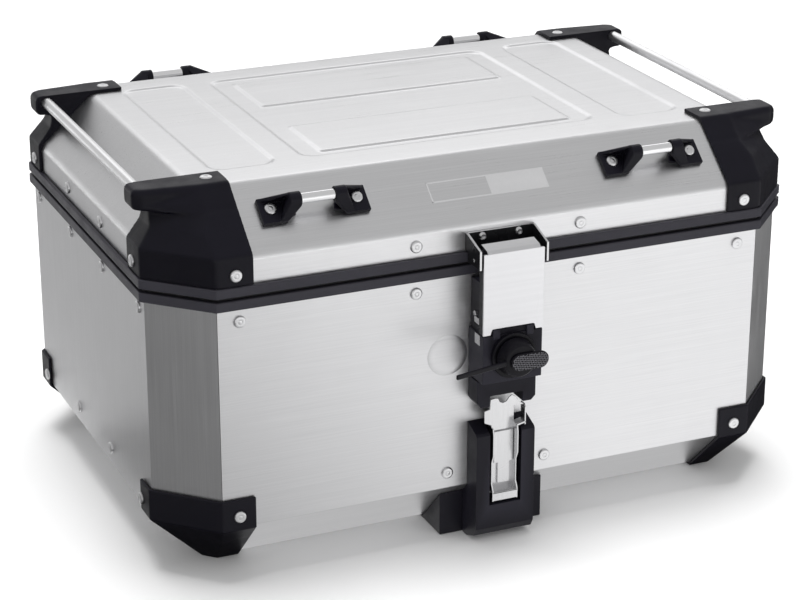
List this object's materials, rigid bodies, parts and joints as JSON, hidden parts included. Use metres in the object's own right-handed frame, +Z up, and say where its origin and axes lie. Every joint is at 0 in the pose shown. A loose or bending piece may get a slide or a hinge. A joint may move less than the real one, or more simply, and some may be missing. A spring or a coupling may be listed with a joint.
{
  "type": "top case",
  "caption": "Lockable aluminium top case for a motorcycle, with a hinged lid, corner guards, side rails, tie-down loops and a front hasp with a turning lock.",
  "frame": {"origin": "centre of the mounting plate's underside, below the middle of the case's footprint", "axes": "+Z up, +X to the right seen from the front, -Y towards the front panel with the lock"},
  "size_m": [0.5908, 0.4871, 0.3294],
  "materials": {
    "aluminium_sheet": "brushed, satin",
    "rail_tube": "satin anodised",
    "rivets": "smooth dome heads",
    "polished_steel": "polished",
    "black_plastic": "fine moulded grain",
    "rim_plastic": "satin",
    "rubber": "matt"
  },
  "bodies": {
    "base": {"base_rim": "rim_plastic", "base_wrap_sheet": "aluminium_sheet", "floor_mat": "rubber", "foot_guard_front_left": "black_plastic", "foot_guard_front_right": "black_plastic", "foot_guard_rear_left": "black_plastic", "foot_guard_rear_right": "black_plastic", "front_rivet_1": "rivets", "front_rivet_2": "rivets", "front_rivet_3": "rivets", "front_rivet_4": "rivets", "front_rivet_5": "rivets", "front_rivet_6": "rivets", "hasp_catch": "polished_steel", "hinge_leaf_base_left": "polished_steel", "hinge_leaf_base_right": "polished_steel", "hinge_pin_left": "polished_steel", "hinge_pin_right": "polished_steel", "lever_pin": "polished_steel", "lock_bezel": "black_plastic", "lock_body": "black_plastic", "lower_block": "black_plastic", "lower_housing": "black_plastic", "mount_plate": "black_plastic", "rim_seal": "rubber", "side_sheet_left": "aluminium_sheet", "side_sheet_right": "aluminium_sheet"},
    "lid": {"bracket_screw_1": "polished_steel", "bracket_screw_2": "polished_steel", "hasp_bracket": "polished_steel", "hasp_pin": "polished_steel", "hinge_leaf_lid_left": "polished_steel", "hinge_leaf_lid_right": "polished_steel", "lid_guard_front_left": "black_plastic", "lid_guard_front_right": "black_plastic", "lid_guard_rear_left": "black_plastic", "lid_guard_rear_right": "black_plastic", "lid_rim": "rim_plastic", "lid_rivet_1": "rivets", "lid_rivet_2": "rivets", "lid_shell": "aluminium_sheet", "side_rail_left": "rail_tube", "side_rail_right": "rail_tube", "tie_bracket_front_left_a": "black_plastic", "tie_bracket_front_left_b": "black_plastic", "tie_bracket_front_right_a": "black_plastic", "tie_bracket_front_right_b": "black_plastic", "tie_bracket_rear_left_a": "black_plastic", "tie_bracket_rear_left_b": "black_plastic", "tie_bracket_rear_right_a": "black_plastic", "tie_bracket_rear_right_b": "black_plastic", "tie_rod_front_left": "polished_steel", "tie_rod_front_right": "polished_steel", "tie_rod_rear_left": "polished_steel", "tie_rod_rear_right": "polished_steel"},
    "hasp": {"hasp": "polished_steel"},
    "knob": {"lock_knob": "black_plastic", "knob_grip": "black_plastic", "knob_arm": "black_plastic"},
    "lever": {"release_lever": "polished_steel"}
  },
  "joints": [
    {"name": "lid_hinge", "type": "hinge", "parent": "base", "child": "lid", "pos_m": [0, 0.22, 0.25], "axis": [-1, 0, 0], "range_deg": [0, 85]},
    {"name": "hasp_swing", "type": "hinge", "parent": "lid", "child": "hasp", "pos_m": [0, -0.225, 0.2575], "axis": [-1, 0, 0], "range_deg": [0, 100]},
    {"name": "knob_turn", "type": "hinge", "parent": "base", "child": "knob", "pos_m": [0, -0.2355, 0.174], "axis": [0, -1, 0], "range_deg": [0, 90]},
    {"name": "lever_release", "type": "hinge", "parent": "base", "child": "lever", "pos_m": [0, -0.218, 0.043], "axis": [1, 0, 0], "range_deg": [0, 12], "stiffness_Nm_per_rad": 0.06, "springref_deg": -22.92}
  ]
}
